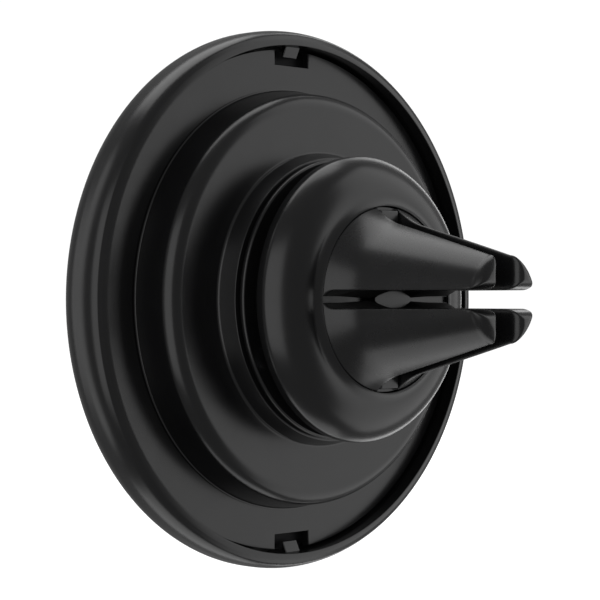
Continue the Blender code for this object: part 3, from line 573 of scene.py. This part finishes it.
def build_clip_body(material):
    """The knob: a tight rim, a domed shoulder, and a face that turns up round the fingers."""
    clip_r, face_y = CLIP_HIGH.x, CLIP_HIGH.y
    turn = math.radians(CLIP_RIM_DEG)
    hole_r = HUB_R + HUB_GAP
    skirt_end_r = hole_r + CLIP_SKIRT_R * math.sin(math.radians(CLIP_SKIRT_DEG))
    start_r = clip_r - CLIP_RIM_R * (1 - math.cos(turn))
    dome_r = start_r - CLIP_DOME_R * math.cos(turn)
    flat_deg = math.degrees(math.acos((skirt_end_r - dome_r) / CLIP_DOME_R))
    dome_y = face_y - CLIP_DOME_R * math.sin(math.radians(flat_deg))
    rim_r = clip_r - CLIP_RIM_R
    rim_y = dome_y + CLIP_DOME_R * math.sin(turn) - CLIP_RIM_R * math.sin(turn)
    points = arc(dome_r, dome_y, CLIP_DOME_R, flat_deg, CLIP_RIM_DEG, 40)[:-1]
    points += arc(rim_r, rim_y, CLIP_RIM_R, CLIP_RIM_DEG, 0, 12)
    points += filleted([(clip_r, rim_y), (clip_r, CLIP_LOW.y, CLIP_BACK_EDGE),
                        (clip_r - CLIP_SKIN, CLIP_LOW.y, FINE_EDGE), (clip_r - CLIP_SKIN, rim_y)])[1:]
    points += arc(dome_r, dome_y, CLIP_DOME_R - CLIP_SKIN, CLIP_RIM_DEG + 4, flat_deg, 10)
    points += [(hole_r, points[-1][1])]
    points += arc(skirt_end_r, face_y + CLIP_SKIRT_R, CLIP_SKIRT_R, 270 - CLIP_SKIRT_DEG, 269, 14)
    new_piece("clip_shell", turned("clip_shell", points, True), material, "clip",
              ["clip_body"])


def root_block(name, sign_x, sign_z, half, low_y, high_y):
    """A square block where a finger's root stands."""
    low, high = (ROOT_PITCH_R - half, low_y, -half), (ROOT_PITCH_R + half, high_y, half)
    mesh = block_mesh(name, low, high, FINE_EDGE)
    mesh.transform(Matrix.Rotation(-math.atan2(sign_z, sign_x), 4, "Y"))
    return mesh


def build_hub(material):
    """The round base of the fingers, with a pocket for each root and a rib in the vertical slot."""
    top_y = HUB_HIGH.y
    flange_r = HUB_HIGH.x
    flange_y = HUB_LOW.y + HUB_FLANGE_THICK
    bore_y = HUB_LOW.y + HUB_BORE_DEPTH
    corners = [(0.0, top_y), (HUB_R, top_y, FINE_EDGE), (HUB_R, flange_y), (flange_r, flange_y, FINE_EDGE),
               (flange_r, HUB_LOW.y, FINE_EDGE), (HUB_BORE_R, HUB_LOW.y), (HUB_BORE_R, bore_y), (0.0, bore_y)]
    base = turned("finger_base", filleted(corners), False)
    pockets = [root_block("pocket", sign_x, sign_z, POCKET_HALF, FINGER_LOW.y - POCKET_CLEAR, top_y + MM)
               for sign_x, sign_z in QUADRANTS]
    rib = block_mesh("rib", (-RIB_HALF, top_y - RIB_SINK, -RIB_REACH),
                     (RIB_HALF, top_y + RIB_RISE, RIB_REACH), RIB_EDGE)
    plate_y = top_y + CORE_RISE
    core = block_mesh("core", (-RIB_HALF, top_y, -CORE_REACH),
                      (RIB_HALF, plate_y - PLATE_THICK - PLATE_LIFT, CORE_REACH), FINE_EDGE)
    new_piece("finger_base", joined("finger_base", [carve(base, pockets), rib, core, plate_mesh(plate_y)]),
              material, "clip", ["clip_hub"])


def plate_mesh(top_y):
    """The six-sided plate on the hub's core, which fills the gap between the vane pads."""
    far, near = PLATE_ENDS
    outline = []
    for side_x, side_z, distances in ((1, 1, (far, near)), (-1, 1, (near, far)), (-1, -1, (far, near)),
                                      (1, -1, (near, far))):
        for x in distances:
            outline.append((side_x * x, side_z * min(pad_gap(x) - PLATE_GAP, PLATE_HALF)))
    count = len(outline)
    verts = [(x, top_y - depth, z) for depth in (PLATE_THICK, 0.0) for x, z in outline]
    faces = [tuple(range(count)), tuple(range(count, 2 * count))]
    faces += [(k, (k + 1) % count, count + (k + 1) % count, count + k) for k in range(count)]
    mesh = bpy.data.meshes.new("plate")
    mesh.from_pydata(verts, [], faces)
    return mesh


def finger_radius(y):
    """Outer radius of the fingers: dome, cone, then a rounded tip."""
    cone_y = HUB_HIGH.y + CONE_BASE_RISE
    tip_y = FINGER_TIP_Y - TIP_ROUND_R
    slope = (CONE_BASE_R - CONE_TIP_R) / (tip_y - cone_y)
    if y > tip_y:
        u = min(1.0, (y - tip_y) / TIP_ROUND_R)
        return CONE_TIP_R - TIP_ROUND_R + TIP_ROUND_R * math.sqrt(1 - u * u)
    radius = CONE_BASE_R + slope * (cone_y - y)
    if y < cone_y:
        share = (cone_y - y) / (cone_y - FINGER_Y)
        radius += (HUB_R - CONE_BASE_R - slope * (cone_y - FINGER_Y)) * share ** 2
    return radius


def lead(y, reach, length):
    """How far a rounded lead-in has opened a slot at y."""
    v = (y - (FINGER_TIP_Y - length)) / length
    return 0.0 if v <= 0 else reach * (1 - math.sqrt(max(0.0, 1 - v * v)))


def vane_half(y):
    """Half width of the horizontal slot: round at its floor, then parallel, then opened by the lead-in."""
    rise = y - FINGER_Y
    if rise >= SLOT_END_R:
        return VANE_SLOT / 2 + lead(y, *VANE_LEAD)
    return max(SLOT_FLOOR_GAP, math.sqrt(SLOT_END_R ** 2 - (SLOT_END_R - max(0.0, rise)) ** 2))


def finger_section(y, inset, flat_steps=10, arc_steps=44, corner_steps=5):
    """Closed outline of a quarter at y, in the quadrant where x and z are positive."""
    radius = finger_radius(y) - inset
    x0 = CROSS_SLOT / 2 + lead(y, *CROSS_LEAD) + inset
    z0 = vane_half(y) + inset
    e = min(SOFT_EDGE, 0.3 * (radius - math.hypot(x0, z0)))
    reach = radius - e
    out_x = math.sqrt(reach ** 2 - (z0 + e) ** 2)
    out_z = math.sqrt(reach ** 2 - (x0 + e) ** 2)
    points = []

    def corner(cx, cz, start, end):
        for k in range(corner_steps + 1):
            angle = start + (end - start) * k / corner_steps
            points.append((cx + e * math.cos(angle), cz + e * math.sin(angle)))

    def flat(ax, az, bx, bz):
        for k in range(1, flat_steps):
            share = k / flat_steps
            points.append((ax + (bx - ax) * share, az + (bz - az) * share))

    low_angle = math.atan2(z0 + e, out_x)
    high_angle = math.atan2(out_z, x0 + e)
    corner(x0 + e, z0 + e, math.pi, 1.5 * math.pi)
    flat(x0 + e, z0, out_x, z0)
    corner(out_x, z0 + e, -math.pi / 2, low_angle)
    for k in range(1, arc_steps):
        angle = low_angle + (high_angle - low_angle) * k / arc_steps
        points.append((radius * math.cos(angle), radius * math.sin(angle)))
    corner(x0 + e, out_z, high_angle, math.pi)
    flat(x0, out_z, x0, z0 + e)
    return points


def finger_stations():
    """(y, inset) along a finger, close together where it curves."""
    foot = [(FINGER_Y + along, inset) for inset, along in
            arc(FOOT_EDGE, FOOT_EDGE, -FOOT_EDGE, 90, 0, 3)]
    low = [(FINGER_Y + SLOT_END_R * (1 - math.cos(math.radians(a))), 0.0) for a in range(30, 91, 6)]
    start = low[-1][0]
    body_end = FINGER_TIP_Y - VANE_LEAD[1]
    body = [(start + (body_end - start) * k / 40, 0.0) for k in range(1, 41)]
    tip = [(body_end + VANE_LEAD[1] * math.sin(math.radians(a)), 0.0) for a in range(4, 81, 4)]
    return foot + low + body + [s for s in tip if tip_is_open(s[0])]


def tip_is_open(y):
    """Whether a finger still has a section at y, inside its rounded edges."""
    x0 = CROSS_SLOT / 2 + lead(y, *CROSS_LEAD)
    return finger_radius(y) - math.hypot(x0, vane_half(y)) > LEAST_TIP


def build_fingers(material):
    """Four tapering fingers, each with a root that stands in the hub's pocket."""
    for i, (sign_x, sign_z) in enumerate(QUADRANTS):
        name = f"finger_{i + 1}"
        stations = finger_stations()
        verts, faces = [], []
        for y, inset in stations:
            verts += [(sign_x * x, y, sign_z * z) for x, z in finger_section(y, inset)]
        count = len(verts) // len(stations)
        for row in range(len(stations) - 1):
            for k in range(count):
                n = (k + 1) % count
                a, b = row * count, (row + 1) * count
                faces.append((a + k, a + n, b + n, b + k))
        faces.append(tuple(range(count)))
        faces.append(tuple(range(len(verts) - count, len(verts))))
        mesh = bpy.data.meshes.new(name)
        mesh.from_pydata(verts, [], faces)
        root = root_block("root", sign_x, sign_z, ROOT_HALF, FINGER_LOW.y, FINGER_Y + ROOT_OVERLAP)
        new_piece(f"prong_{i + 1}", joined(name, [mesh, root]), material, name, [name],
                  weighted=False)


def pad_gap(x):
    """Half the width that the pads leave at the slot's floor: narrow beside the hub's rib, then wider."""
    for (x0, gap0), (x1, gap1) in zip(PAD_GAPS, PAD_GAPS[1:]):
        if x <= x1:
            return gap0 + (gap1 - gap0) * max(0.0, (x - x0) / (x1 - x0))
    return PAD_GAPS[-1][1]


def build_vane_pads(material):
    """Rubber wedges that narrow the horizontal slot towards its floor and towards the axis."""
    inner_x, outer_x = PAD_GAPS[0][0], PAD_GAPS[-1][0]
    half = VANE_SLOT / 2
    low_y = FINGER_Y - GRIP_SINK
    for i, (sign_x, sign_z) in enumerate(QUADRANTS):
        verts, faces = [], []
        for k in range(GRIP_STEPS + 1):
            x = inner_x + (outer_x - inner_x) * k / GRIP_STEPS
            gap = pad_gap(x)
            top = low_y + GRIP_LEAST_HEIGHT
            while top < low_y + GRIP_HEIGHT and finger_radius(top + GRIP_TOP_INSET) > x + GRIP_INSET:
                top += GRIP_HEIGHT_STEP
            section = [(low_y, half + GRIP_EMBED), (low_y, gap)]
            for step in range(1, GRIP_FACE_STEPS + 1):
                rise = (top - low_y) * step / GRIP_FACE_STEPS
                section.append((low_y + rise, gap + (half - gap) * (rise / GRIP_HEIGHT) ** GRIP_FACE_POWER))
            section.append((top, half + GRIP_EMBED))
            verts += [(sign_x * x, y, sign_z * z) for y, z in section]
        count = len(section)
        for row in range(GRIP_STEPS):
            a, b = row * count, (row + 1) * count
            for k in range(count):
                n = (k + 1) % count
                faces.append((a + k, a + n, b + n, b + k))
        faces.append(tuple(range(count)))
        faces.append(tuple(range(len(verts) - count, len(verts))))
        mesh = bpy.data.meshes.new("grip")
        mesh.from_pydata(verts, [], faces)
        new_piece(f"grip_{i + 1}", mesh, material, f"finger_{i + 1}", [f"vane_pad_{i + 1}"])


def paint_inner_nodes(materials):
    """The hidden works keep their shapes and get their materials."""
    shown_slots = {row["node"]: row["material_slot"] for row in frame["record"]["subparts"]}
    for node, obj in frame["nodes"].items():
        obj.data.materials.clear()
        obj.data.materials.append(materials[shown_slots[node]])


# --- stage ----------------------------------------------------------------------------------------

CAMERA_DIR = Vector((math.sin(VIEW_AZIMUTH), math.cos(VIEW_AZIMUTH), 0.0))
RIGHT = Vector((-math.cos(VIEW_AZIMUTH), math.sin(VIEW_AZIMUTH), 0.0))
UP = Vector((0.0, 0.0, 1.0))


def build_camera():
    """A long lens at the height of the mount's axis, from behind the disc."""
    camera = bpy.data.objects.new("camera", bpy.data.cameras.new("camera"))
    bpy.context.scene.collection.objects.link(camera)
    camera.data.lens = VIEW_LENS
    camera.data.sensor_width = 36.0
    camera.data.shift_y = VIEW_SHIFT
    camera.data.clip_start = 0.01
    camera.data.clip_end = 10.0
    place = Vector((0.0, LIP_Y, 0.0)) - RIGHT * VIEW_SIDE_STEP + CAMERA_DIR * VIEW_DISTANCE
    turn = Matrix((RIGHT, UP, CAMERA_DIR)).transposed()
    camera.matrix_world = Matrix.Translation(place) @ turn.to_4x4()
    bpy.context.scene.camera = camera


def soft_panel(name, angle_deg, tilt_deg, width, height, strength):
    """An area light in the direction of this angle from +X towards +Y, facing the mount."""
    light = bpy.data.lights.new(name, "AREA")
    light.shape = "RECTANGLE"
    light.size, light.size_y = width, height
    light.energy = strength * width * height * math.pi
    obj = bpy.data.objects.new(name, light)
    bpy.context.scene.collection.objects.link(obj)
    angle, tilt = math.radians(angle_deg), math.radians(tilt_deg)
    away = Vector((math.cos(angle) * math.cos(tilt), math.sin(angle) * math.cos(tilt), math.sin(tilt)))
    obj.location = Vector((0.0, PANEL_AIM_Y, 0.0)) + away * PANEL_DISTANCE
    obj.rotation_mode = "QUATERNION"
    obj.rotation_quaternion = away.to_track_quat("Z", "Y")
    obj.visible_camera = False


def build_lights():
    """One large panel for the flats, strips for the roundings, and panels above and below for the fingers."""
    soft_panel("main_panel", 146, 0, 0.56, 1.7, 0.98)
    soft_panel("front_panel", 23, 0, 0.56, 0.9, 1.10)
    soft_panel("left_strip", -45, 0, 0.24, 1.2, 1.0)
    soft_panel("backdrop", -154, 0, 0.10, 1.5, 1.5)
    soft_panel("top_panel", -110, 72, 0.50, 0.42, 1.9)
    soft_panel("low_panel", -110, -72, 0.50, 0.42, 1.1)


def build_world():
    """White behind the mount, nearly dark around it."""
    world = bpy.data.worlds.new("studio")
    bpy.context.scene.world = world
    world.use_nodes = True
    tree = world.node_tree
    tree.nodes.clear()
    output = tree.nodes.new("ShaderNodeOutputWorld")
    seen = tree.nodes.new("ShaderNodeBackground")
    seen.inputs["Color"].default_value = (1.0, 1.0, 1.0, 1.0)
    seen.inputs["Strength"].default_value = 1.05
    around = tree.nodes.new("ShaderNodeBackground")
    around.inputs["Color"].default_value = (1.0, 1.0, 1.0, 1.0)
    around.inputs["Strength"].default_value = 0.25
    mix = tree.nodes.new("ShaderNodeMixShader")
    path = tree.nodes.new("ShaderNodeLightPath")
    tree.links.new(path.outputs["Is Camera Ray"], mix.inputs["Fac"])
    tree.links.new(around.outputs["Background"], mix.inputs[1])
    tree.links.new(seen.outputs["Background"], mix.inputs[2])
    tree.links.new(mix.outputs["Shader"], output.inputs["Surface"])


def build_floor():
    """A pale floor under the disc's rim, bright enough to meet the background without an edge."""
    bm = bmesh.new()
    bmesh.ops.create_circle(bm, cap_ends=True, segments=96, radius=2.0)
    mesh = bpy.data.meshes.new("floor")
    bm.to_mesh(mesh)
    bm.free()
    floor = bpy.data.objects.new("floor", mesh)
    bpy.context.scene.collection.objects.link(floor)
    floor.location.z = CAD_BOX[0].z - 0.5 * MM
    n = Nodes("pale_floor")
    n.shader.inputs["Roughness"].default_value = 0.9
    n.shader.inputs["Base Color"].default_value = (0.35, 0.35, 0.35, 1.0)
    n.shader.inputs["Emission Color"].default_value = (1.0, 1.0, 1.0, 1.0)
    n.shader.inputs["Emission Strength"].default_value = 0.98
    mesh.materials.append(n.material)
    floor.visible_glossy = False
    floor.visible_diffuse = False


def main():
    materials = {
        "satin_black": satin_plastic("satin_black", (0.0075, 0.0075, 0.0080), 0.25),
        "finger_black": satin_plastic("finger_black", (0.0075, 0.0075, 0.0080), 0.27),
        # inner_black also colours the steel shunt plate seen through the cover's notches: there its black is
        # painted shade, the plate darkened to stand for the shadow in the notch
        "inner_black": satin_plastic("inner_black", (0.010, 0.010, 0.011), 0.5, 0.5, 0.12),
        "pad_rubber": rubber("pad_rubber", (0.017, 0.017, 0.018), 0.62, 0.22 * MM),
        "grip_rubber": rubber("grip_rubber", (0.003, 0.003, 0.003), 0.75, 0.15 * MM, 0.15),
        "acetal": acetal("acetal"),
        "nickel": metal("nickel", (0.66, 0.63, 0.58), 0.24),
        "zinc_steel": metal("zinc_steel", (0.60, 0.61, 0.64), 0.32, (6.0, 0.5, 6.0)),
    }
    paint_inner_nodes(materials)
    build_camera()
    build_lights()
    build_world()
    build_floor()
    build_bezel(materials["satin_black"])
    build_face_pad(materials["pad_rubber"])
    build_rear_cover(materials["satin_black"])
    build_socket_housing(materials["satin_black"])
    build_ring(materials["satin_black"])
    build_clip_body(materials["satin_black"])
    build_hub(materials["satin_black"])
    build_fingers(materials["finger_black"])
    build_vane_pads(materials["grip_rubber"])
    bpy.context.scene.view_settings.view_transform = "Standard"


main()
